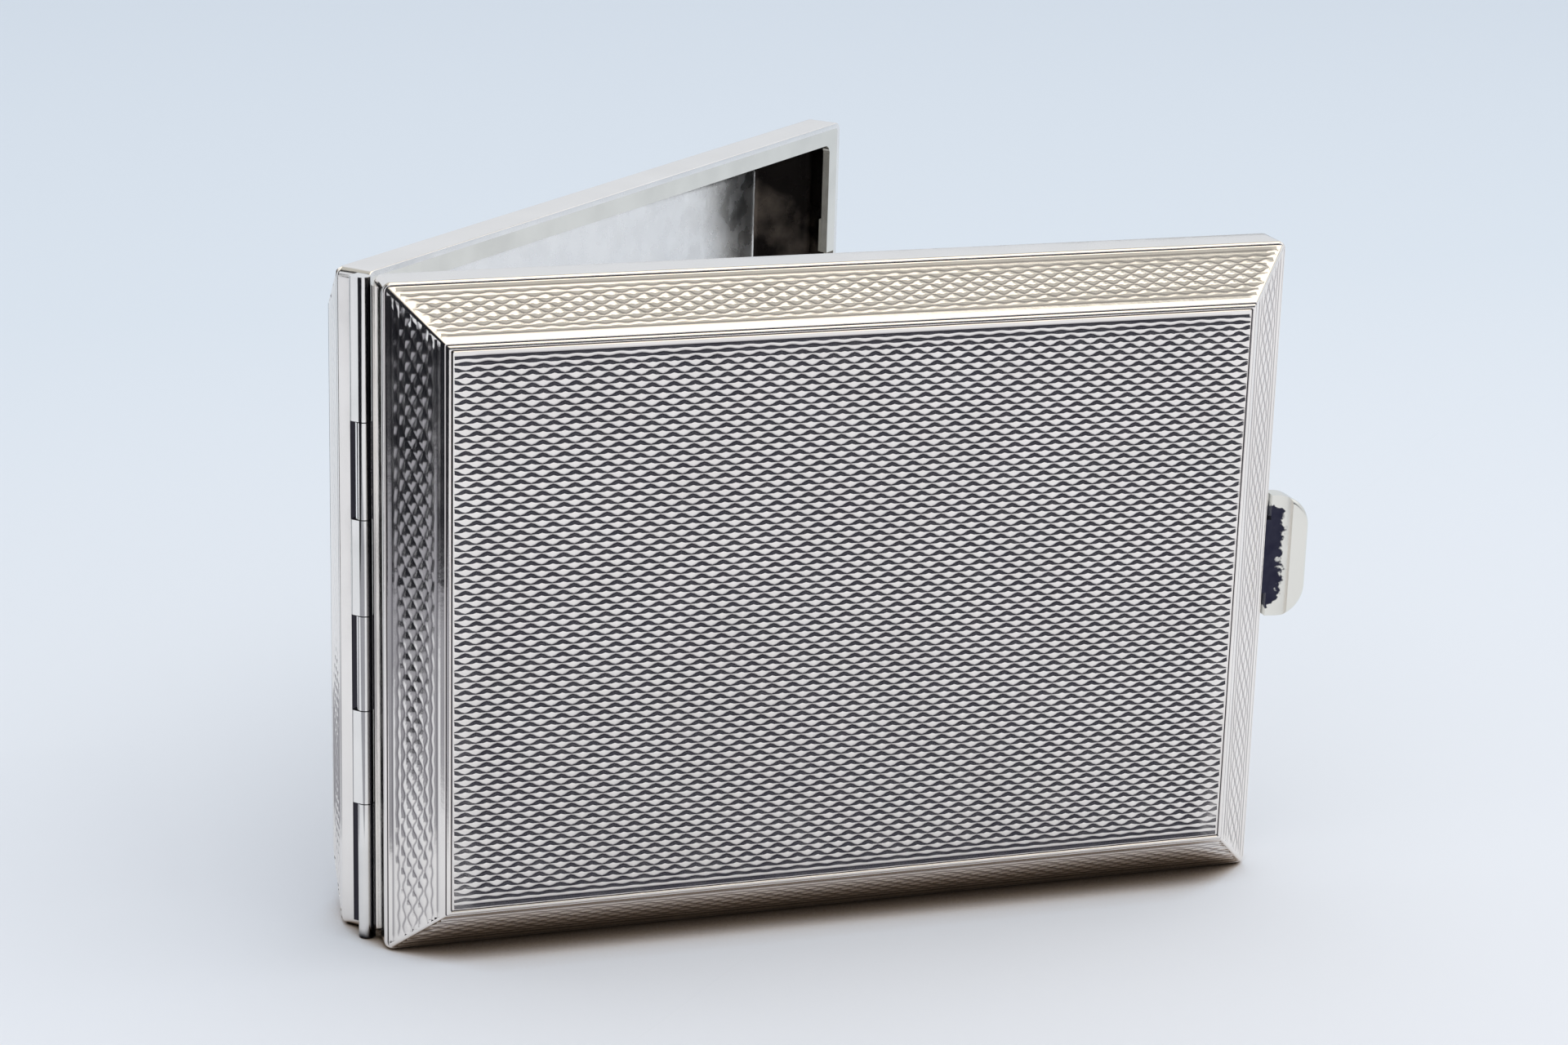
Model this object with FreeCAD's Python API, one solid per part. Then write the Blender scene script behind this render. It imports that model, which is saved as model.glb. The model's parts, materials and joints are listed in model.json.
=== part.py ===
import FreeCAD, Part
import math
import os

# A pocket business card case in polished silver sheet: two bevelled pans joined
# by a long knuckle hinge on one short side, with a sprung thumb catch on the other.
# Lengths are in millimetres, angles in degrees.
#
# The parts are drawn with the case closed: x runs from the hinge-side wall (x = 0)
# to the catch side, y = 0 is the plane where the two mouths meet (rear half at +y,
# front half at -y), and z runs up the hinge. Every rear part is then turned open
# about the hinge axis, and the whole case is moved so that the origin lies in the
# middle of the front cover's bottom wall, on which the case stands.

# Driving dimensions of the case
case_length = 90.5
case_height = 66.0
wall_depth = 3.6
bevel_depth = 4.85
bevel_width = 5.2
sheet = 0.6
corner_radius = 1.0
rim_gap = 0.1
open_angle = 42.6

# Frame soldered into each mouth
rim_width = 2.3
rim_thickness = 0.8

# Hinge
axis_offset = 1.0
tube_radius = 0.75
bore_radius = 0.42
pin_radius = 0.40
end_knuckle = 14.0
knuckle_gap = 0.1
rear_foot_depth = 1.1
rear_foot_round = 0.3
front_foot_depth = 0.45
bearer_thickness = 0.2
rear_bearer_depth = 2.05
front_bearer_depth = 0.6
hinge_inset = 0.15
plug_length = 0.6

# Thumb catch
travel = 0.8
bar_thickness = 0.5
bar_length = 40.0
bar_inset = 0.95
bar_low = 1.15
bar_high = 3.05
hook_width = 3.8
hook_spacing = 32.0
hook_reach = 1.85
nose_length = 0.15
nose_height = 0.5
notch_margin = 0.4
notch_clearance = 0.1
ledge_clearance = 0.08
keeper_thickness = 0.4
keeper_length = 44.0
keeper_overhang = 0.2
shank_length = 7.8
shank_low = 1.45
shank_high = 2.75
slot_margin = 0.12
head_gap = 0.95
head_reach = 3.9
head_length = 12.8
head_low = 0.3
head_high = 3.5
head_corner = 3.3
head_round = 0.45
scoop_radius = 2.6
scoop_depth = 0.9
rivet_radius = 0.35
rivet_spacing = 4.4
rivet_depth = 1.25
guide_thickness = 0.25
guide_length = 3.0
guide_spacing = 26.0
guide_floor = 0.2
guide_clearance = 0.1
spring_thickness = 0.2
spring_height = 1.6

half_gap = rim_gap / 2
mid_height = case_height / 2
tiny = 0.05
beyond = 1.0


def box(x_low, x_high, y_low, y_high, z_low, z_high):
    """A block between two corners."""
    corner = FreeCAD.Vector(x_low, y_low, z_low)
    return Part.makeBox(x_high - x_low, y_high - y_low, z_high - z_low, corner)


def mirrored(shape):
    """The same part on the front half of the case."""
    return shape.mirror(FreeCAD.Vector(0, 0, 0), FreeCAD.Vector(0, 1, 0))


def edges_along(shape, direction):
    """Straight edges parallel to a direction."""
    found = []
    for edge in shape.Edges:
        if edge.Curve.TypeId != "Part::GeomLine":
            continue
        if abs(abs(edge.tangentAt(edge.FirstParameter).dot(direction)) - 1) < 1e-6:
            found.append(edge)
    return found


def rounded_block(inset, depth, radius):
    """A block as large as the case less an inset, with its four corners rounded."""
    block = box(inset, case_length - inset, half_gap - tiny, half_gap + depth,
                inset, case_height - inset)
    return block.makeFillet(radius, edges_along(block, FreeCAD.Vector(0, 1, 0)))


def pan_volume(inset):
    """The pan's outline: straight walls, then four bevels up to the flat panel."""
    slope = bevel_depth / bevel_width
    shift = inset * math.hypot(1, slope)
    crease = half_gap + wall_depth + slope * inset - shift
    panel = half_gap + wall_depth + bevel_depth - inset
    panel_inset = (panel - half_gap - wall_depth + shift) / slope
    far_x = case_length - inset
    far_z = case_height - inset
    mouth = half_gap if inset == 0 else half_gap - tiny
    walls = box(inset, far_x, mouth, crease, inset, far_z)
    bevels = Part.makeWedge(
        inset, crease, inset, panel_inset, panel_inset,
        far_x, panel, far_z, case_height - panel_inset, case_length - panel_inset)
    outline = walls.fuse(bevels).removeSplitter()
    radius = corner_radius - inset
    return outline.common(rounded_block(inset, wall_depth + bevel_depth + beyond, radius))


def cover():
    """One pressed pan of even sheet thickness, open at its mouth."""
    return pan_volume(0).cut(pan_volume(sheet))


def hook_places():
    """The middle height of each catch hook."""
    return [mid_height - hook_spacing / 2, mid_height + hook_spacing / 2]


def notches(x_high):
    """Clearance for the two hooks through a rim, open towards the card space."""
    half_width = hook_width / 2 + notch_margin
    x_low = case_length - rim_width - beyond
    return [box(x_low, x_high, -beyond, wall_depth, z - half_width, z + half_width)
            for z in hook_places()]


def rim_frame(notch_edge):
    """The flat frame in a pan's mouth, notched for the catch hooks."""
    outer = rounded_block(sheet, rim_thickness, corner_radius - sheet)
    far_x = case_length - rim_width
    far_z = case_height - rim_width
    window = box(rim_width, far_x, -beyond, rim_thickness + beyond, rim_width, far_z)
    window = window.makeFillet(corner_radius, edges_along(window, FreeCAD.Vector(0, 1, 0)))
    above_rim = box(-beyond, case_length + beyond, -beyond, half_gap, -beyond, case_height + beyond)
    frame = outer.cut(window).cut(above_rim)
    for notch in notches(notch_edge):
        frame = frame.cut(notch)
    return frame


def bearer(depth):
    """The strip on the hinge-side wall that carries a half's three knuckles."""
    z_low = corner_radius
    return box(-bearer_thickness, 0, half_gap, half_gap + depth, z_low, case_height - z_low)


def knuckle_spans():
    """Low and high ends of the six knuckles, from the bottom up."""
    middle = (case_height - 2 * end_knuckle) / 4
    cuts = [end_knuckle + middle * i for i in range(5)]
    edges = [hinge_inset - knuckle_gap / 2] + cuts
    edges.append(case_height - hinge_inset + knuckle_gap / 2)
    return [(edges[i] + knuckle_gap / 2, edges[i + 1] - knuckle_gap / 2)
            for i in range(6)]


def bored(shape, z_low, z_high):
    """A knuckle with the pin's bore, and a step that keeps its foot clear of the other half."""
    step = box(-bearer_thickness - tiny, 0, 0, half_gap, z_low, z_high)
    return shape.removeSplitter().cut(step).cut(hinge_rod(bore_radius, z_low, z_high))


def front_knuckle(z_low, z_high):
    """A hinge tube with a narrow foot, hidden behind it, that solders it to its bearer."""
    foot = box(-axis_offset, -bearer_thickness, 0, front_foot_depth, z_low, z_high)
    return mirrored(bored(hinge_rod(tube_radius, z_low, z_high).fuse(foot), z_low, z_high))


def rear_knuckle(z_low, z_high):
    """A hinge tube with a broad flat foot, which shows when the case is open."""
    foot = box(-axis_offset - tube_radius, -bearer_thickness, 0, rear_foot_depth, z_low, z_high)
    outer_edge = [edge for edge in edges_along(foot, FreeCAD.Vector(0, 0, 1))
                  if edge.Vertexes[0].X < -axis_offset and edge.Vertexes[0].Y > tiny]
    foot = foot.makeFillet(rear_foot_round, outer_edge)
    return bored(hinge_rod(tube_radius, z_low, z_high).fuse(foot), z_low, z_high)


def hinge_rod(radius, z_low, z_high):
    """A round rod on the hinge axis."""
    bottom = FreeCAD.Vector(-axis_offset, 0, z_low)
    return Part.makeCylinder(radius, z_high - z_low, bottom, FreeCAD.Vector(0, 0, 1))


def catch_bar():
    """The sliding bar behind the front frame, with a hook near each end."""
    outer = case_length - bar_inset
    inner = outer - bar_thickness
    bar = box(inner, outer, -bar_high, -bar_low,
              mid_height - bar_length / 2, mid_height + bar_length / 2)
    for z in hook_places():
        z_low = z - hook_width / 2
        z_high = z + hook_width / 2
        upright = box(inner, outer, -bar_low - tiny, hook_reach, z_low, z_high)
        nose = box(outer - tiny, outer + nose_length, hook_reach - nose_height,
                   hook_reach, z_low, z_high)
        bar = bar.fuse(upright).fuse(nose)
    bar = bar.removeSplitter()
    for rivet in catch_rivets():
        bar = bar.cut(rivet)
    return bar


def catch_rivets():
    """Two flush rivets that hold the thumb piece to the bar."""
    start = case_length - bar_inset - bar_thickness
    middle = -(shank_low + shank_high) / 2
    along = FreeCAD.Vector(1, 0, 0)
    return [Part.makeCylinder(rivet_radius, bar_thickness + rivet_depth,
                              FreeCAD.Vector(start, middle, mid_height + side), along)
            for side in (-rivet_spacing / 2, rivet_spacing / 2)]


def thumb_head():
    """The D-shaped head: rounded outline, scooped on the side the thumb meets."""
    inner = case_length + head_gap
    outer = inner + head_reach
    z_low = mid_height - head_length / 2
    head = box(inner, outer, -head_high, -head_low, z_low, z_low + head_length)
    depth = FreeCAD.Vector(0, 1, 0)
    corners = [edge for edge in edges_along(head, depth) if edge.Vertexes[0].X > inner + tiny]
    head = head.makeFillet(head_corner, corners)
    rim = [edge for edge in head.Edges
           if edge.BoundBox.XMax > inner + tiny and edge.BoundBox.YLength < 1e-6]
    head = head.makeFillet(head_round, rim)
    scoop_axis = -head_high - scoop_radius + scoop_depth
    scoop = Part.makeCylinder(scoop_radius, head_length,
                              FreeCAD.Vector(inner, scoop_axis, z_low),
                              FreeCAD.Vector(0, 0, 1))
    return head.cut(scoop)


def thumb_piece():
    """Head and shank in one piece."""
    shank = box(case_length - bar_inset, case_length + head_gap + tiny,
                -shank_high, -shank_low,
                mid_height - shank_length / 2, mid_height + shank_length / 2)
    piece = thumb_head().fuse(shank).removeSplitter()
    for rivet in catch_rivets():
        piece = piece.cut(rivet)
    return piece


def thumb_slot():
    """The slot in the front cover's end wall that the shank slides in."""
    half_length = shank_length / 2 + slot_margin
    return box(case_length - beyond, case_length + beyond,
               -shank_high - slot_margin, -shank_low + slot_margin,
               mid_height - half_length, mid_height + half_length)


def catch_guides():
    """Two angle brackets that keep the bar against the end wall."""
    wall = case_length - sheet
    upright = case_length - bar_inset - bar_thickness - travel - tiny
    floor_high = bar_high + guide_clearance
    guides = []
    for side in (-guide_spacing / 2, guide_spacing / 2):
        z_low = mid_height + side - guide_length / 2
        z_high = z_low + guide_length
        floor = box(upright - guide_thickness, wall, -floor_high - guide_floor, -floor_high,
                    z_low, z_high)
        stop = box(upright - guide_thickness, upright, -floor_high - tiny, -bar_low,
                   z_low, z_high)
        guides.append(floor.fuse(stop).removeSplitter())
    return guides


def catch_spring():
    """The leaf between the brackets, drawn in its flat, fully pressed shape."""
    outer = case_length - bar_inset - bar_thickness - travel - tiny
    middle = -(bar_low + bar_high) / 2
    half_length = (guide_spacing - guide_length) / 2
    return box(outer - spring_thickness, outer,
               middle - spring_height / 2, middle + spring_height / 2,
               mid_height - half_length, mid_height + half_length)


def keeper(notch_edge):
    """The strip behind the rear frame that the hooks' noses catch on."""
    low = half_gap + rim_thickness
    strip = box(case_length - rim_width + keeper_overhang, case_length - sheet,
                low, low + keeper_thickness,
                mid_height - keeper_length / 2, mid_height + keeper_length / 2)
    for notch in notches(notch_edge):
        strip = strip.cut(notch)
    return strip


def front_parts():
    """Everything that stands still with the front half."""
    spans = knuckle_spans()
    parts = {}
    parts["front_cover"] = mirrored(cover()).cut(thumb_slot())
    notch_edge = case_length - bar_inset + notch_clearance
    parts["front_frame"] = mirrored(rim_frame(notch_edge))
    parts["front_hinge_bearer"] = mirrored(bearer(front_bearer_depth))
    for name, i in (("lower", 0), ("middle", 2), ("upper", 4)):
        parts["front_knuckle_" + name] = front_knuckle(*spans[i])
    low_end = spans[0][0]
    high_end = spans[5][1]
    pin_low = low_end + plug_length + tiny
    pin_high = high_end - plug_length - tiny
    parts["hinge_pin"] = hinge_rod(pin_radius, pin_low, pin_high)
    parts["hinge_plug_lower"] = hinge_rod(bore_radius, low_end, low_end + plug_length)
    parts["catch_guides"] = Part.makeCompound(catch_guides())
    parts["catch_spring"] = catch_spring()
    return parts


def rear_parts():
    """Everything that swings with the rear half, drawn closed."""
    spans = knuckle_spans()
    ledge = case_length - bar_inset + nose_length + ledge_clearance
    parts = {}
    parts["rear_cover"] = cover()
    parts["rear_frame"] = rim_frame(ledge)
    parts["rear_keeper"] = keeper(ledge)
    parts["rear_hinge_bearer"] = bearer(rear_bearer_depth)
    for name, i in (("lower", 1), ("middle", 3), ("upper", 5)):
        parts["rear_knuckle_" + name] = rear_knuckle(*spans[i])
    high_end = spans[5][1]
    parts["hinge_plug_upper"] = hinge_rod(bore_radius, high_end - plug_length, high_end)
    return parts


def catch_parts():
    """Everything that slides when the thumb piece is pressed."""
    return {
        "thumb_piece": thumb_piece(),
        "catch_bar": catch_bar(),
        "catch_rivets": Part.makeCompound(catch_rivets()),
    }


def placed(shape, turned):
    """Opens a rear part about the hinge, then moves the part to the case's own frame."""
    shape = shape.copy()
    if turned:
        shape.rotate(FreeCAD.Vector(-axis_offset, 0, 0), FreeCAD.Vector(0, 0, 1), open_angle)
    shape.translate(FreeCAD.Vector(-case_length / 2, half_gap + wall_depth / 2, 0))
    return shape


def main():
    os.makedirs("parts", exist_ok=True)
    groups = [(front_parts(), False), (rear_parts(), True), (catch_parts(), False)]
    for parts, turned in groups:
        for name, shape in parts.items():
            placed(shape, turned).exportStep(os.path.join("parts", name + ".step"))


main()
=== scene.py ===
import json
import math

import bmesh
import bpy
import numpy as np
from mathutils import Matrix, Vector


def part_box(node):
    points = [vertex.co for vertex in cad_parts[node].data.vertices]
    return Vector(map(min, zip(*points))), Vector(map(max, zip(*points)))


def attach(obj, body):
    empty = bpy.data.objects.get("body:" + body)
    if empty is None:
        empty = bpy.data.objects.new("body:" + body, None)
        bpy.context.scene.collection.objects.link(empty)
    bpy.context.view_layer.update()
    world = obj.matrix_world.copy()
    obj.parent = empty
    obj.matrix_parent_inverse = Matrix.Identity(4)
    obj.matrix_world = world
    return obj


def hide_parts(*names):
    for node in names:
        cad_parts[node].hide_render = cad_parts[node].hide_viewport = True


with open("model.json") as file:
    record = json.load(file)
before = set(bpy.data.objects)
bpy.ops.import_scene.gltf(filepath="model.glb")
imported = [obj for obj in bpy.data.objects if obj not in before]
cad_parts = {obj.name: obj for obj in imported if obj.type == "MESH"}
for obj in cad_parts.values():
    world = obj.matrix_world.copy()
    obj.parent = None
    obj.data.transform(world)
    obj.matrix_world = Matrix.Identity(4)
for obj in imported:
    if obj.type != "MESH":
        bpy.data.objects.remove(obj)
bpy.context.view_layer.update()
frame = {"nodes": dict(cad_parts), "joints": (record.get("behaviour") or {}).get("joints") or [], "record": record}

# Each half of the case is drawn in its own millimetres: x from the hinge-side wall to
# the catch side, y from the plane where the mouths meet outwards, z up. The front half
# is the mirror image in that plane and the rear half is turned open about the hinge.
MM = 0.001
lid_hinge = next(joint for joint in frame["joints"] if joint["name"] == "lid_hinge")
hinge = Vector(lid_hinge["pos_m"])
open_angle = -math.radians(lid_hinge["range_deg"][0])
cover_low, cover_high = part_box("front_cover")
case_length = (cover_high.x - cover_low.x) / MM
case_height = (cover_high.z - cover_low.z) / MM
axis_offset = (cover_low.x - hinge.x) / MM
mouth = (hinge.y - cover_high.y) / MM
panel = (hinge.y - cover_low.y) / MM

# Driving sizes of a cover, in millimetres
wall_depth = 3.6
bevel_width = 5.2
sheet = 0.6
corner_radius = 1.0
edge_radius = 0.9
mitre_radius = 0.15
edge_round = 0.5
crease_round = 0.35
mouth_round = 0.12
inner_round = 1.4

# The slot in the front cover's end wall, round the thumb piece's shank
shank_low = 1.45
shank_high = 2.75
shank_length = 7.8
slot_play = 0.12

# How finely the skin is divided
corner_steps = 8
mouth_steps = 4
fillet_steps = 5
fillet_run = 5.0
sharp_angle = 12.5

# Engine turning: wavy V cuts side by side, each half a wave out of step with the next
wave_length = 2.08
wave_steps = 6
wave_height = 0.22
cut_pitch = 0.61
bevel_pitch = 0.56
cut_width = 0.38
cut_depth = 0.11
least_width = 0.012
field_fade = 2.5
bevel_fade = 0.7
plain_end = 0.05
least_fade = 0.78
border_line = 0.11
border_depth = 0.09

# Where the border lines lie, from the bevel's two edges and from the panel's edge
wall_border = 0.36
crease_border = 0.34
panel_border = 0.27
border_radius = 0.7

# How far the engine turning stays from the same edges, and from the mitres
wall_margin = 0.5
crease_margin = 0.85
panel_margin = 0.42
mitre_margin = 0.1
patch_gap = 0.05

crease = mouth + wall_depth
bevel_depth = panel - crease
slant = math.hypot(bevel_width, bevel_depth)
along_inset = bevel_width / slant
along_depth = bevel_depth / slant

# Material slots of a cover
OUTSIDE = 0
INSIDE = 1

# The mesh attribute "cut" is 0 to 1 in the engine turning, by its depth. Elsewhere it is one of these, which on
# the inside say how much painted black shade the skin gets:
BORDER_CUT = 2.0
# How much painted black shade the inner wall and the inner panel get
INNER_SHADED = 1.0
INNER_UNSHADED = 0.25

# Colours of the metals
ENGRAVED_BRIGHT = (0.96, 0.91, 0.86)
ENGRAVED_DULL = (0.90, 0.85, 0.80)
CUT_BOTTOM = (0.40, 0.37, 0.37)
BORDER_BLACK = (0.03, 0.022, 0.025)
INNER_BRIGHT = (0.90, 0.88, 0.85)
INNER_DULL = (0.78, 0.77, 0.76)
# Painted shade on the inner walls: near black with brown patches
INNER_SHADE_BLACK = (0.012, 0.010, 0.009)
INNER_SHADE_BROWN = (0.10, 0.08, 0.065)
# Painted shade for the gaps between pieces
GAP_SHADE = (0.012, 0.011, 0.016)
POLISHED = (0.95, 0.91, 0.86)
NICKEL = (0.72, 0.70, 0.62)
STEEL = (0.55, 0.55, 0.56)
BRONZE = (0.70, 0.50, 0.30)
RIM = (0.77, 0.75, 0.69)
HINGE = (0.93, 0.90, 0.86)
# Painted shade: the rear hinge bearer is near black for the dark slits beside the front knuckles
REAR_BEARER_SHADE = (0.04, 0.037, 0.045)
THUMB_BRIGHT = (0.82, 0.80, 0.73)
# Painted shade in the thumb piece's recess: near black and dark grey
THUMB_SHADE_BLACK = (0.012, 0.012, 0.03)
THUMB_SHADE_GREY = (0.05, 0.05, 0.07)

# The recess of the thumb piece, painted dark as shade, in metres: from the case outwards, and from its middle up
# and down
recess_start = 0.0012
recess_end = 0.0032
recess_half_start = 0.0048
recess_half_end = 0.0062

# How far the painted shade of gaps and the painted shadow at the case's foot reach, in metres
gap_shade_reach = 0.0016
floor_shade_reach = 0.009

# Colours of the floor, with its painted light falloff and painted contact shadow, the sky and the cards that only
# the metal mirrors
PAPER_NEAR = (0.85, 0.845, 0.87)
PAPER_FAR = (0.73, 0.775, 0.825)
SHADE_BLACK = (0.006, 0.003, 0.002)
SHADE_BROWN = (0.42, 0.28, 0.16)
SKY_LOW = (0.80, 0.84, 0.89)
SKY_HIGH = (0.86, 0.92, 1.0)
BELOW_SKY = (0.01, 0.01, 0.01)
BLACK_CARD = (0.012, 0.012, 0.016)
GREY_CARD = (0.33, 0.33, 0.36)
FRONT_CARD = (0.05, 0.05, 0.065)
CEILING_CARD = (0.78, 0.72, 0.60)
sky_strength = 0.89

# Name, place, the point it faces, width and height, and shade of each card, in metres
CARDS = (
    ("front_flag", (0.05, -0.6, 0.21), (0.05, 0, 0.21), (1.3, 0.42), FRONT_CARD),
    ("ceiling_flag", (0.1, -0.2, 0.75), (0.1, -0.2, 0), (1.8, 1.6), CEILING_CARD),
    ("left_flag", (-0.15, -0.1895, 0.125), (0.1, -0.1895, 0.125), (0.341, 0.25), BLACK_CARD),
    ("left_back_flag", (-0.15, 0.039, 0.125), (0.1, 0.039, 0.125), (0.042, 0.25), BLACK_CARD),
    ("left_card", (-0.125, -0.075, 0.0008), (-0.125, -0.075, 1), (0.13, 0.112), GREY_CARD),
    ("left_back_card", (-0.125, 0.039, 0.0008), (-0.125, 0.039, 1), (0.13, 0.042), GREY_CARD),
)

# Name, place, target, width and height, watts and colour of each lamp
LAMPS = (
    ("overhead_softbox", (0.1, -0.1, 0.7), (0, -0.05, 0.03), (0.6, 0.85), 1.55, (1.0, 0.94, 0.82)),
    ("right_softbox", (0.6, 0.1, 0.6), (0, 0, 0.03), (0.7, 0.7), 0.45, (1.0, 0.97, 0.92)),
)

camera_place = Vector((-0.1122, -0.3224, 0.1450))
camera_yaw = math.radians(18.33)
camera_pitch = math.radians(-17.2)
camera_roll = math.radians(1.65)
camera_lens = 84.3
sensor_width = 36.0
floor_size = 8.0


class Skin:
    """Corners and faces of one mesh. Each corner also says how deep it lies in a cut, or on the inside how much
    painted shade it gets.
    """

    def __init__(self):
        self.corners = []
        self.cuts = []
        self.faces = []
        self.kinds = []
        self.kind = OUTSIDE

    def corner(self, x, y, z, cut=0.0):
        self.corners.append((x, y, z))
        self.cuts.append(cut)
        return len(self.corners) - 1

    def face(self, *indices):
        kept = list(dict.fromkeys(indices))
        if len(kept) > 2:
            self.faces.append(kept)
            self.kinds.append(self.kind)

    def strip(self, first, second):
        """Faces between two rows with the same number of corners."""
        for i in range(len(first) - 1):
            self.face(first[i], first[i + 1], second[i + 1], second[i])

    def zip_rows(self, first, second):
        """Triangles between two rows with different numbers of corners."""
        i, j = 0, 0
        while i < len(first) - 1 or j < len(second) - 1:
            first_share = (i + 0.5) / max(len(first) - 1, 0.5)
            second_share = (j + 0.5) / max(len(second) - 1, 0.5)
            if first_share <= second_share:
                self.face(first[i], first[i + 1], second[j])
                i += 1
            else:
                self.face(first[i], second[j + 1], second[j])
                j += 1

    def ring(self, inset, depth, radius, cut=0.0):
        """A rounded rectangle round the case: four arcs, from the low x, low z corner on."""
        far_x = case_length - inset - radius
        far_z = case_height - inset - radius
        near = inset + radius
        arcs = []
        for k, (x, z) in enumerate(((near, near), (far_x, near), (far_x, far_z), (near, far_z))):
            arc = []
            for step in range(corner_steps + 1):
                angle = math.pi + (k + step / corner_steps) * math.pi / 2
                arc.append(self.corner(x + radius * math.cos(angle), depth,
                                       z + radius * math.sin(angle), cut))
            arcs.append(arc)
        return arcs

    def bridge(self, first, second, sides=(0, 1, 2, 3)):
        """Joins two rings at their corners and along the sides that are named."""
        for k in range(4):
            self.strip(first[k], second[k])
        for k in sides:
            nxt = (k + 1) % 4
            self.face(first[k][-1], first[nxt][0], second[nxt][0], second[k][-1])

    def fill_side(self, first, second, k, island):
        """Fills one side between two rings round an island that has four edges."""
        nxt = (k + 1) % 4
        quad = [first[k][-1], first[nxt][0], second[nxt][0], second[k][-1]]
        for i in range(4):
            self.zip_rows([quad[i], quad[(i + 1) % 4]], island[i])

    def mesh(self, name, placing):
        """The finished mesh, in metres, with its faces turned outwards."""
        data = bpy.data.meshes.new(name)
        data.from_pydata([placing @ Vector(c) for c in self.corners], [], self.faces)
        data.polygons.foreach_set("material_index", self.kinds)
        depth = data.attributes.new("cut", "FLOAT", "POINT")
        depth.data.foreach_set("value", self.cuts)
        work = bmesh.new()
        work.from_mesh(data)
        bmesh.ops.recalc_face_normals(work, faces=work.faces)
        work.to_mesh(data)
        work.free()
        data.shade_smooth()
        data.set_sharp_from_angle(angle=math.radians(sharp_angle))
        return data


def arc_points(start, corner, end, radius, steps):
    """Points of a fillet in a profile, where two straight runs meet at a corner."""
    to_start = (Vector(start) - Vector(corner)).normalized()
    to_end = (Vector(end) - Vector(corner)).normalized()
    half = to_start.angle(to_end) / 2
    centre = Vector(corner) + (to_start + to_end).normalized() * radius / math.sin(half)
    first = Vector(corner) + to_start * radius / math.tan(half) - centre
    last = Vector(corner) + to_end * radius / math.tan(half) - centre
    turn = first.angle(last)
    points = []
    for i in range(steps + 1):
        share = i / steps
        blend = (first * math.sin((1 - share) * turn) + last * math.sin(share * turn)) / math.sin(turn)
        points.append(tuple(centre + blend))
    return points


def on_bevel(distance, height=0.0):
    """Inset and depth of a point on the bevel, by its distance from the wall."""
    return (distance * along_inset - height * along_depth,
            crease + distance * along_depth + height * along_inset)


def bevel_place(k):
    """Where a point of side k's bevel lies, by its run along the side and up the slope."""
    def place(run, rise, height):
        inset, depth = on_bevel(rise, height)
        if k == 0:
            return run, depth, inset
        if k == 1:
            return case_length - inset, depth, run
        if k == 2:
            return case_length - run, depth, case_height - inset
        return inset, depth, case_height - run
    return place


def field_place(run, rise, height):
    """Where a point of the flat panel lies."""
    return run, panel + height, rise


def smooth(share):
    share = np.clip(share, 0.0, 1.0)
    return share * share * (3 - 2 * share)


def engrave(skin, place, low, high, low_end, high_end, pitch, middle, fade_length):
    """Cuts a patch of engine turning into the skin and returns its four edges.

    The lines run along the patch from low_end to high_end, which are functions of the
    rise, and lie side by side from low to high. Towards the ends the cutter lifts, so
    the lines get shallower. The outermost lines are straight.
    """
    edge = cut_width + least_width
    count = round((high - low - 2 * edge) / pitch) + 1
    step = wave_length / wave_steps
    reach = math.ceil((high_end(low) - low_end(low)) / 2 / step) + 1
    runs = middle + np.arange(-reach, reach + 1) * step
    wave = np.cos((runs - middle) * 2 * math.pi / wave_length)

    def fade(rises):
        gap = np.minimum(runs - low_end(rises), high_end(rises) - runs)
        return np.maximum(smooth((gap - plain_end) / fade_length), least_fade)

    lines = []
    for k, base in enumerate(np.linspace(low + edge, high - edge, count)):
        swing = wave_height * min(1.0, k / 3, (count - 1 - k) / 3)
        lines.append(base + (-1) ** k * swing * wave)
    below = np.full(len(runs), 2 * low) - lines[0]
    above = np.full(len(runs), 2 * high) - lines[-1]
    rises = [np.full(len(runs), low)]
    heights = [np.zeros(len(runs))]
    for k, line in enumerate(lines):
        lift = fade(line)
        gap_below = line - (lines[k - 1] if k else below)
        gap_above = (lines[k + 1] if k + 1 < count else above) - line
        width_below = np.minimum(cut_width, gap_below / 2 - least_width)
        width_above = np.minimum(cut_width, gap_above / 2 - least_width)
        depth = cut_depth * lift
        rises += [line - width_below, line, line + width_above]
        heights.append(depth * (width_below / cut_width - 1))
        heights.append(-depth)
        heights.append(depth * (width_above / cut_width - 1))
    rises.append(np.full(len(runs), high))
    heights.append(np.zeros(len(runs)))

    grid = []
    for rise, height in zip(rises, heights):
        inside = np.nonzero((runs > low_end(rise) + 1e-6) & (runs < high_end(rise) - 1e-6))[0]
        first, last = inside[0], inside[-1]
        start = skin.corner(*place(float(low_end(rise[first])), float(rise[first]), 0.0))
        row = [start] * first
        for i in inside:
            point = place(float(runs[i]), float(rise[i]), float(height[i]))
            row.append(skin.corner(*point, float(-height[i] / cut_depth)))
        end = skin.corner(*place(float(high_end(rise[last])), float(rise[last]), 0.0))
        row += [end] * (len(runs) - 1 - last)
        grid.append(row)
    for i in range(len(grid) - 1):
        skin.strip(grid[i], grid[i + 1])
    low_edge = list(dict.fromkeys(grid[0]))
    high_edge = list(dict.fromkeys(grid[-1]))
    return [low_edge, [row[-1] for row in grid], high_edge[::-1], [row[0] for row in grid][::-1]]


def border(distance, on_surface):
    """Inset, depth and cut of the three rings of an engraved border line."""
    return [(*on_surface(distance - border_line, 0.0), 0.0),
            (*on_surface(distance, -border_depth), BORDER_CUT),
            (*on_surface(distance + border_line, 0.0), 0.0)]


def on_panel(distance, height=0.0):
    return bevel_width + distance, panel + height


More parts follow.
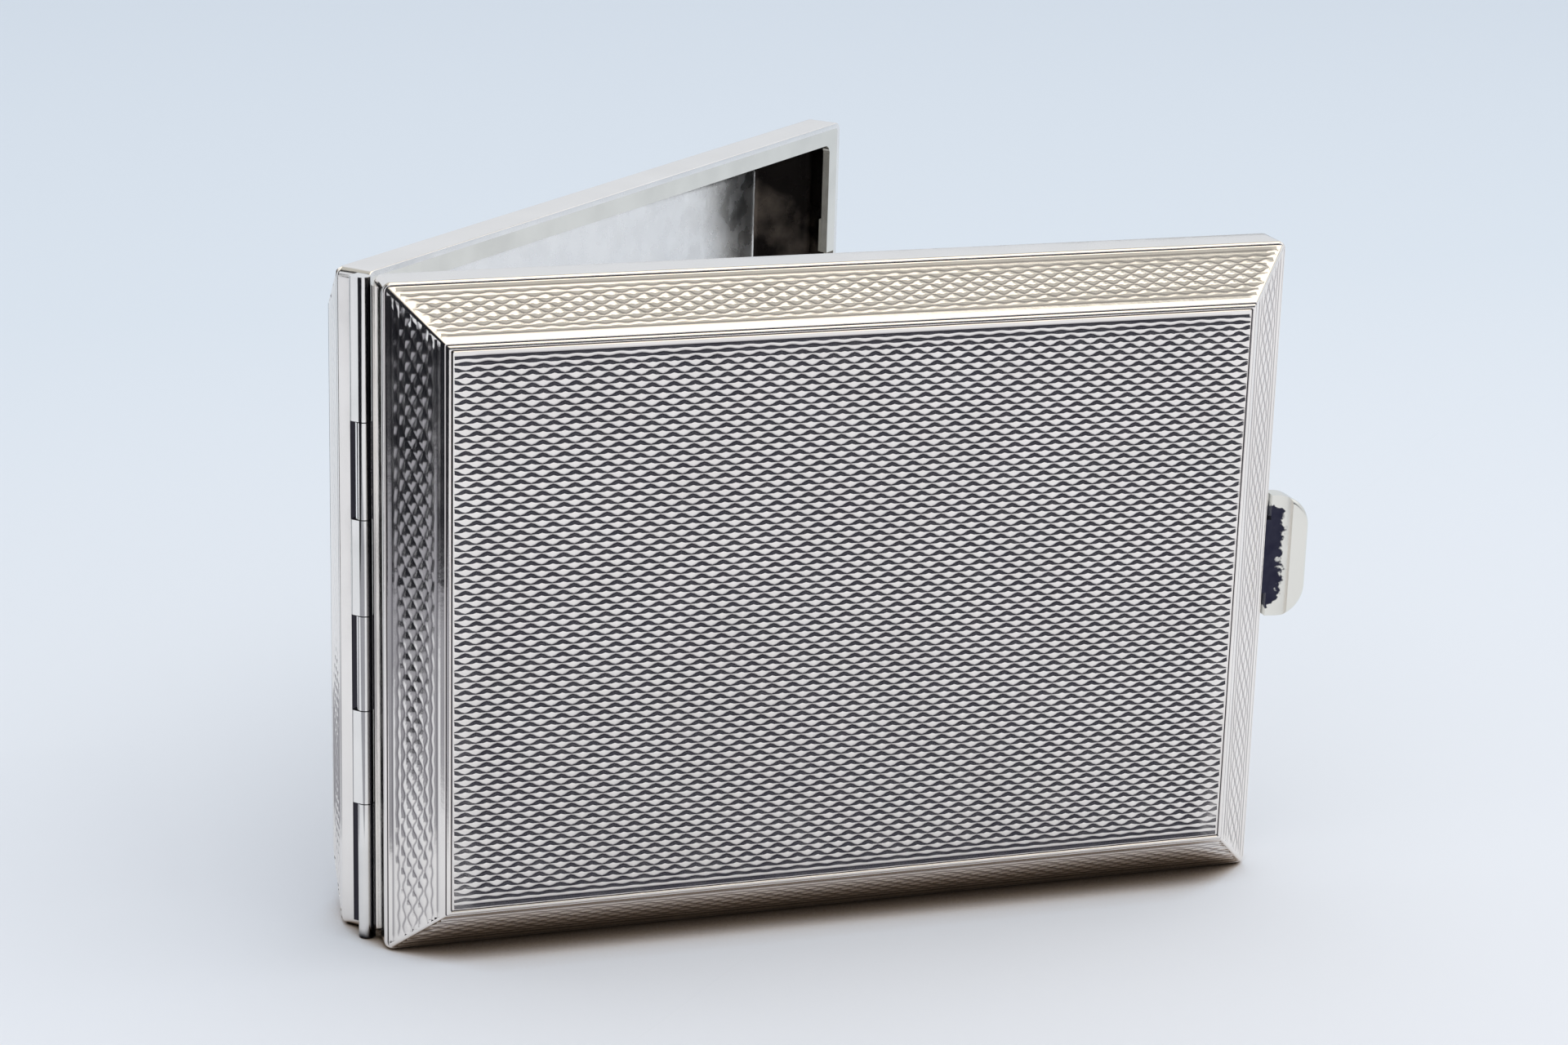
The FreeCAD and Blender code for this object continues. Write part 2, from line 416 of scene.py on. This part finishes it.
def slot_edges(skin, inset, gap_low, gap_high):
    """The four edges of the thumb piece's slot in the end wall, on one face of the sheet."""
    x = case_length - inset
    corners = [skin.corner(x, y, z) for y, z in
               ((gap_low.y, gap_low.z), (gap_low.y, gap_high.z),
                (gap_high.y, gap_high.z), (gap_high.y, gap_low.z))]
    return [[corners[i], corners[(i + 1) % 4]] for i in range(4)]


def cover(name, placing, slot):
    """One pan: the outside from the mouth to the panel, then the inside, as one closed skin."""
    skin = Skin()

    mouth_ring = skin.ring(mouth_round, mouth, corner_radius - mouth_round)
    last = mouth_ring
    lip = arc_points((mouth_round, mouth), (0.0, mouth), (0.0, crease), mouth_round, mouth_steps)
    for inset, depth in lip[1:]:
        ring = skin.ring(inset, depth, corner_radius)
        skin.bridge(last, ring)
        last = ring

    edge = arc_points((0.0, mouth), (0.0, crease), on_bevel(slant), edge_round, fillet_steps)
    ring = skin.ring(*edge[0], corner_radius)
    if slot:
        outer_slot = slot_edges(skin, 0.0, *slot)
        skin.bridge(last, ring, sides=(0, 2, 3))
        skin.fill_side(last, ring, 1, outer_slot)
    else:
        skin.bridge(last, ring)
    last = ring
    for inset, depth in edge[1:]:
        ring = skin.ring(inset, depth, edge_radius)
        skin.bridge(last, ring)
        last = ring

    for inset, depth, cut in border(wall_border, on_bevel):
        ring = skin.ring(inset, depth, border_radius, cut)
        skin.bridge(last, ring)
        last = ring
    bevel_high = slant - crease_margin
    ring = skin.ring(*on_bevel(wall_margin), mitre_radius * 2)
    skin.bridge(last, ring)
    last = ring
    ring = skin.ring(*on_bevel(bevel_high), mitre_radius)
    skin.bridge(last, ring, sides=())
    for k in range(4):
        side = case_length if k % 2 == 0 else case_height
        margin = mitre_radius + mitre_margin

        def low_end(rise):
            return rise * along_inset + margin + mitre_radius * smooth((bevel_high - rise) / slant)

        def high_end(rise, side=side):
            return side - low_end(rise)

        pitch = bevel_pitch if k % 2 == 0 else cut_pitch
        island = engrave(skin, bevel_place(k), wall_margin + patch_gap, bevel_high - patch_gap,
                         low_end, high_end, pitch, side / 2, bevel_fade)
        skin.fill_side(last, ring, k, island)
    last = ring

    for inset, depth, cut in border(slant - crease_border, on_bevel):
        ring = skin.ring(inset, depth, mitre_radius, cut)
        skin.bridge(last, ring)
        last = ring
    fold = arc_points(on_bevel(0.0), on_bevel(slant), on_panel(fillet_run), crease_round, fillet_steps)
    for inset, depth in fold:
        ring = skin.ring(inset, depth, mitre_radius)
        skin.bridge(last, ring)
        last = ring
    for inset, depth, cut in border(panel_border, on_panel):
        ring = skin.ring(inset, depth, mitre_radius, cut)
        skin.bridge(last, ring)
        last = ring
    near = bevel_width + panel_margin
    far_z = case_height - near
    field = engrave(skin, field_place, near, far_z, lambda rise: near + 0 * rise,
                    lambda rise: case_length - near + 0 * rise, cut_pitch, case_length / 2, field_fade)
    half = corner_steps // 2
    for k in range(4):
        side = last[k][half:] + last[(k + 1) % 4][:half + 1]
        skin.zip_rows(side, field[k])

    skin.kind = INSIDE
    shift = sheet * slant / bevel_width
    inner_crease = crease + sheet * bevel_depth / bevel_width - shift
    inner_panel = panel - sheet
    inner_inset = (inner_panel - crease + shift) * bevel_width / bevel_depth
    inner_radius = corner_radius - sheet
    ring = skin.ring(sheet, mouth, inner_radius)
    skin.bridge(mouth_ring, ring)
    last = ring
    wall = arc_points((sheet, mouth), (sheet, inner_crease), (inner_inset, inner_panel),
                      inner_round, fillet_steps)
    ring = skin.ring(*wall[0], inner_radius, INNER_SHADED)
    if slot:
        inner_slot = slot_edges(skin, sheet, *slot)
        skin.bridge(last, ring, sides=(0, 2, 3))
        skin.fill_side(last, ring, 1, inner_slot)
        for outer, inner in zip(outer_slot, inner_slot):
            skin.strip(outer, inner)
    else:
        skin.bridge(last, ring)
    last = ring
    fold = arc_points((sheet, inner_crease), (inner_inset, inner_panel),
                      (inner_inset + fillet_run, inner_panel), inner_round, fillet_steps)
    for inset, depth in wall[1:] + fold:
        # The inner wall up to the crease gets painted black shade, the inner panel none
        painted_shade = INNER_SHADED if inset < inner_inset else INNER_UNSHADED
        ring = skin.ring(inset, depth, inner_radius, painted_shade)
        skin.bridge(last, ring)
        last = ring
    skin.face(*[index for arc in last for index in arc])
    piece = bpy.data.objects.new(name, skin.mesh(name, placing))
    bpy.context.scene.collection.objects.link(piece)
    return piece


def nodes_of(name):
    """A new material and its Principled shader."""
    made = bpy.data.materials.new(name)
    made.use_nodes = True
    return made, made.node_tree.nodes, made.node_tree.links, made.node_tree.nodes["Principled BSDF"]


def noise(nodes, links, scale, detail=4.0, stretch=(1, 1, 1)):
    """A noise pattern fixed to the object, scale in bumps per metre."""
    place = nodes.new("ShaderNodeTexCoord")
    mapping = nodes.new("ShaderNodeMapping")
    mapping.inputs["Scale"].default_value = stretch
    links.new(place.outputs["Object"], mapping.inputs["Vector"])
    pattern = nodes.new("ShaderNodeTexNoise")
    pattern.inputs["Scale"].default_value = scale
    pattern.inputs["Detail"].default_value = detail
    links.new(mapping.outputs["Vector"], pattern.inputs["Vector"])
    return pattern.outputs["Fac"]


def remap(nodes, links, value, low, high, to_low, to_high):
    """A value moved from one range to another and held inside it."""
    node = nodes.new("ShaderNodeMapRange")
    node.inputs["From Min"].default_value = low
    node.inputs["From Max"].default_value = high
    node.inputs["To Min"].default_value = to_low
    node.inputs["To Max"].default_value = to_high
    links.new(value, node.inputs["Value"])
    return node.outputs["Result"]


def mix(nodes, links, share, first, second):
    """A mix of two colours by a share."""
    node = nodes.new("ShaderNodeMix")
    node.data_type = "RGBA"
    links.new(share, node.inputs["Factor"])
    for socket, colour in ((node.inputs["A"], first), (node.inputs["B"], second)):
        if isinstance(colour, tuple):
            socket.default_value = (*colour, 1.0)
        else:
            links.new(colour, socket)
    return node.outputs["Result"]


def bump(nodes, links, shader, height, strength, distance):
    node = nodes.new("ShaderNodeBump")
    node.inputs["Strength"].default_value = strength
    node.inputs["Distance"].default_value = distance
    links.new(height, node.inputs["Height"])
    links.new(node.outputs["Normal"], shader.inputs["Normal"])


def crevice(nodes, links, reach, low, high):
    """1 in open places and 0 deep in gaps: the mask of painted shade in gaps and of the painted shadow under the
    case.
    """
    node = nodes.new("ShaderNodeAmbientOcclusion")
    node.samples = 8
    node.inputs["Distance"].default_value = reach
    return remap(nodes, links, node.outputs["AO"], low, high, 0.0, 1.0)


def engraved_silver():
    """Polished silver with bright cuts, a little darker in their bottoms."""
    made, nodes, links, shader = nodes_of("engraved_silver")
    depth = nodes.new("ShaderNodeAttribute")
    depth.attribute_name = "cut"
    cut = remap(nodes, links, depth.outputs["Fac"], 0.55, 1.0, 0.0, 1.0)
    patina = remap(nodes, links, noise(nodes, links, 120), 0.35, 0.7, 0.0, 1.0)
    bright = mix(nodes, links, patina, ENGRAVED_BRIGHT, ENGRAVED_DULL)
    line = remap(nodes, links, depth.outputs["Fac"], 1.0, 1.8, 0.0, 1.0)
    cut_darkened = mix(nodes, links, cut, bright, CUT_BOTTOM)
    links.new(mix(nodes, links, line, cut_darkened, BORDER_BLACK), shader.inputs["Base Color"])
    shader.inputs["Metallic"].default_value = 1.0
    links.new(remap(nodes, links, noise(nodes, links, 300), 0.3, 0.7, 0.1, 0.18),
              shader.inputs["Roughness"])
    bump(nodes, links, shader, noise(nodes, links, 900), 0.12, 0.0001)
    return made


def inner_silver():
    """Satin silver, with black painted shade in the deep corners round the frame."""
    made, nodes, links, shader = nodes_of("inner_silver")
    depth = nodes.new("ShaderNodeAttribute")
    depth.attribute_name = "cut"
    cloud = remap(nodes, links, noise(nodes, links, 260, 8.0), 0.35, 0.65, -0.15, 0.15)
    total = nodes.new("ShaderNodeMath")
    links.new(depth.outputs["Fac"], total.inputs[0])
    links.new(cloud, total.inputs[1])
    # Painted shade: near black with brown patches on the inner wall, with a ragged edge
    painted_shade = remap(nodes, links, total.outputs["Value"], 0.4, 0.62, 0.0, 1.0)
    brown_patches = remap(nodes, links, noise(nodes, links, 130, 6.0), 0.55, 0.7, 0.0, 1.0)
    black = mix(nodes, links, brown_patches, INNER_SHADE_BLACK, INNER_SHADE_BROWN)
    patina = remap(nodes, links, noise(nodes, links, 90, 6.0), 0.35, 0.7, 0.0, 1.0)
    plain = mix(nodes, links, patina, INNER_BRIGHT, INNER_DULL)
    links.new(mix(nodes, links, painted_shade, plain, black), shader.inputs["Base Color"])
    shader.inputs["Metallic"].default_value = 1.0
    links.new(remap(nodes, links, noise(nodes, links, 400, 6.0), 0.3, 0.7, 0.2, 0.34),
              shader.inputs["Roughness"])
    bump(nodes, links, shader, noise(nodes, links, 350, 6.0), 0.25, 0.0001)
    return made


def worn_silver(name, colour, dull, scratches, shade_clear, black=0.1):
    """Plain metal with soft scratches, dull spots, and painted shade in the gaps between pieces.

    The last two levels say how open a spot must be to get no painted shade, and how closed it must be to be all
    painted shade.
    """
    made, nodes, links, shader = nodes_of(name)
    patina = remap(nodes, links, noise(nodes, links, 160), 0.4, 0.75, 0.0, 1.0)
    worn = mix(nodes, links, patina, colour, tuple(0.88 * part for part in colour))
    # Painted shade: the metal is darkened towards near black where little is open round it
    gap = crevice(nodes, links, gap_shade_reach, black, shade_clear)
    links.new(mix(nodes, links, gap, GAP_SHADE, worn), shader.inputs["Base Color"])
    shader.inputs["Metallic"].default_value = 1.0
    marks = noise(nodes, links, 500, 8.0, (1, 1, 0.08))
    links.new(remap(nodes, links, marks, 0.3, 0.8, dull * 0.6, dull * 1.7), shader.inputs["Roughness"])
    bump(nodes, links, shader, marks, scratches, 0.0001)
    return made


def thumb_silver():
    """Polished silver on the lip that the thumb rubs, and painted black shade in the recess behind it."""
    made, nodes, links, shader = nodes_of("thumb_silver")
    place = nodes.new("ShaderNodeTexCoord")
    split = nodes.new("ShaderNodeSeparateXYZ")
    links.new(place.outputs["Object"], split.inputs["Vector"])
    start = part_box("front_cover")[1].x
    middle = (cover_low.z + cover_high.z) / 2
    across = remap(nodes, links, split.outputs["X"], start + recess_start, start + recess_end, 0.0, 1.0)
    below = remap(nodes, links, split.outputs["Z"], middle - recess_half_end,
                  middle - recess_half_start, 1.0, 0.0)
    above = remap(nodes, links, split.outputs["Z"], middle + recess_half_start,
                  middle + recess_half_end, 0.0, 1.0)
    total = remap(nodes, links, noise(nodes, links, 1500, 8.0), 0.3, 0.7, -0.25, 0.25)
    for share in (across, below, above):
        node = nodes.new("ShaderNodeMath")
        links.new(total, node.inputs[0])
        links.new(share, node.inputs[1])
        total = node.outputs["Value"]
    # Painted shade: the recess next to the case is dark, with a ragged edge
    out_of_shade = remap(nodes, links, total, 0.42, 0.55, 0.0, 1.0)
    painted_shade = mix(nodes, links, noise(nodes, links, 900), THUMB_SHADE_BLACK, THUMB_SHADE_GREY)
    links.new(mix(nodes, links, out_of_shade, painted_shade, THUMB_BRIGHT), shader.inputs["Base Color"])
    shader.inputs["Metallic"].default_value = 1.0
    links.new(remap(nodes, links, noise(nodes, links, 400), 0.3, 0.7, 0.12, 0.22),
              shader.inputs["Roughness"])
    bump(nodes, links, shader, noise(nodes, links, 600), 0.1, 0.0001)
    return made


def dress(node, material):
    """Gives a CAD node one material all over."""
    mesh = frame["nodes"][node].data
    mesh.materials.clear()
    mesh.materials.append(material)


def build_covers():
    to_front = (Matrix.Translation(hinge) @ Matrix.Diagonal((MM, -MM, MM, 1))
                @ Matrix.Translation((axis_offset, 0, 0)))
    to_rear = (Matrix.Translation(hinge) @ Matrix.Rotation(open_angle, 4, "Z")
               @ Matrix.Diagonal((MM, MM, MM, 1)) @ Matrix.Translation((axis_offset, 0, 0)))
    half = shank_length / 2 + slot_play
    middle = case_height / 2
    slot = (Vector((0, shank_low - slot_play, middle - half)),
            Vector((0, shank_high + slot_play, middle + half)))
    outside = engraved_silver()
    inside = inner_silver()
    for name, body, placing, gap in (("front_cover", "front_half", to_front, slot),
                                     ("rear_cover", "rear_half", to_rear, None)):
        piece = cover(name + "_engine_turned", placing, gap)
        piece.data.materials.append(outside)
        piece.data.materials.append(inside)
        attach(piece, body)
        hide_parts(name)


def dress_frame():
    # Each of these materials paints shade into the gaps between pieces
    kinds = {
        "polished_silver": worn_silver("polished_silver", POLISHED, 0.12, 0.1, 0.45),
        "nickel_silver": worn_silver("nickel_silver", NICKEL, 0.3, 0.3, 0.6),
        "pin_steel": worn_silver("pin_steel", STEEL, 0.3, 0.2, 0.6),
        "spring_bronze": worn_silver("spring_bronze", BRONZE, 0.32, 0.3, 0.6),
    }
    for part in frame["record"]["subparts"]:
        if part["material_slot"] in kinds:
            dress(part["node"], kinds[part["material_slot"]])
    dress("thumb_piece", thumb_silver())
    rim = worn_silver("rim_silver", RIM, 0.14, 0.15, 0.3)
    for node in ("rear_frame", "front_frame"):
        dress(node, rim)
    dress("front_hinge_bearer", worn_silver("bearer_silver", HINGE, 0.14, 0.15, 0.12, 0.0))
    # The knuckles get strong painted shade where they sit close to other pieces
    knuckle = worn_silver("knuckle_silver", HINGE, 0.12, 0.1, 0.88, 0.62)
    for node in frame["nodes"]:
        if "knuckle" in node:
            dress(node, knuckle)
    # The rear hinge bearer is painted near black as the shade in the slits beside the front knuckles
    dress("rear_hinge_bearer", worn_silver("bearer_painted_shade", REAR_BEARER_SHADE, 0.3, 0.2, 0.6))


def floor():
    """Pale paper, painted lighter and warmer near the case and darker and bluer behind it as light falloff, with a
    painted shadow where the case touches it.
    """
    bpy.ops.mesh.primitive_plane_add(size=floor_size)
    plane = bpy.context.object
    plane.name = "floor"
    made, nodes, links, shader = nodes_of("pale_paper")
    place = nodes.new("ShaderNodeTexCoord")
    split = nodes.new("ShaderNodeSeparateXYZ")
    links.new(place.outputs["Object"], split.inputs["Vector"])
    # Painted light falloff: the paper is lighter near the case and darker and bluer behind it
    far = remap(nodes, links, split.outputs["Y"], -0.12, 0.25, 0.0, 1.0)
    paper = mix(nodes, links, far, PAPER_NEAR, PAPER_FAR)
    # Painted shadow where the case stands: black at the foot, then brown, then clear
    touch = crevice(nodes, links, floor_shade_reach, 0.16, 0.6)
    brown = remap(nodes, links, touch, 0.0, 0.6, 0.0, 1.0)
    clear = remap(nodes, links, touch, 0.35, 1.0, 0.0, 1.0)
    shade = mix(nodes, links, brown, SHADE_BLACK, SHADE_BROWN)
    links.new(mix(nodes, links, clear, shade, paper), shader.inputs["Base Color"])
    shader.inputs["Roughness"].default_value = 0.8
    shader.inputs["Specular IOR Level"].default_value = 0.2
    plane.data.materials.append(made)


def area_light(name, place, target, size, power, colour):
    data = bpy.data.lights.new(name, "AREA")
    data.shape = "RECTANGLE"
    data.size, data.size_y = size
    data.energy = power
    data.color = colour
    lamp = bpy.data.objects.new(name, data)
    lamp.location = place
    lamp.rotation_euler = (Vector(target) - Vector(place)).to_track_quat("-Z", "Y").to_euler()
    bpy.context.scene.collection.objects.link(lamp)


def flag(name, place, target, size, shade):
    """A card outside the picture that only the metal mirrors."""
    bpy.ops.mesh.primitive_plane_add(size=1.0)
    card = bpy.context.object
    card.name = name
    card.scale = (*size, 1.0)
    card.location = place
    card.rotation_euler = (Vector(target) - Vector(place)).to_track_quat("Z", "Y").to_euler()
    made, nodes, links, shader = nodes_of(name)
    shader.inputs["Base Color"].default_value = (*shade, 1.0)
    shader.inputs["Roughness"].default_value = 1.0
    shader.inputs["Specular IOR Level"].default_value = 0.0
    card.data.materials.append(made)
    card.visible_camera = False
    card.visible_diffuse = False
    card.visible_shadow = False


def studio():
    floor()
    for card in CARDS:
        flag(*card)
    for lamp in LAMPS:
        area_light(*lamp)
    world = bpy.data.worlds.new("studio")
    world.use_nodes = True
    bpy.context.scene.world = world
    nodes, links = world.node_tree.nodes, world.node_tree.links
    place = nodes.new("ShaderNodeTexCoord")
    split = nodes.new("ShaderNodeSeparateXYZ")
    links.new(place.outputs["Generated"], split.inputs["Vector"])
    height = remap(nodes, links, split.outputs["Z"], 0.0, 0.6, 0.0, 1.0)
    sky = mix(nodes, links, height, SKY_LOW, SKY_HIGH)
    ground = remap(nodes, links, split.outputs["Z"], -0.02, 0.0, 0.0, 1.0)
    sky = mix(nodes, links, ground, BELOW_SKY, sky)
    background = nodes["Background"]
    links.new(sky, background.inputs["Color"])
    background.inputs["Strength"].default_value = sky_strength


def camera():
    """The camera stands left of the case and above it, and looks down at it."""
    forward = Vector((math.sin(camera_yaw) * math.cos(camera_pitch),
                      math.cos(camera_yaw) * math.cos(camera_pitch), math.sin(camera_pitch)))
    right = Vector((math.cos(camera_yaw), -math.sin(camera_yaw), 0))
    up = right.cross(forward)
    across = math.cos(camera_roll) * right + math.sin(camera_roll) * up
    upright = math.cos(camera_roll) * up - math.sin(camera_roll) * right
    turn = Matrix((across, upright, -forward)).transposed().to_4x4()
    data = bpy.data.cameras.new("camera")
    data.lens = camera_lens
    data.sensor_width = sensor_width
    data.clip_start = 0.01
    item = bpy.data.objects.new("camera", data)
    item.matrix_world = Matrix.Translation(camera_place) @ turn
    bpy.context.scene.collection.objects.link(item)
    bpy.context.scene.camera = item


camera()
build_covers()
dress_frame()
studio()

view = bpy.context.scene.view_settings
view.view_transform = "Standard"
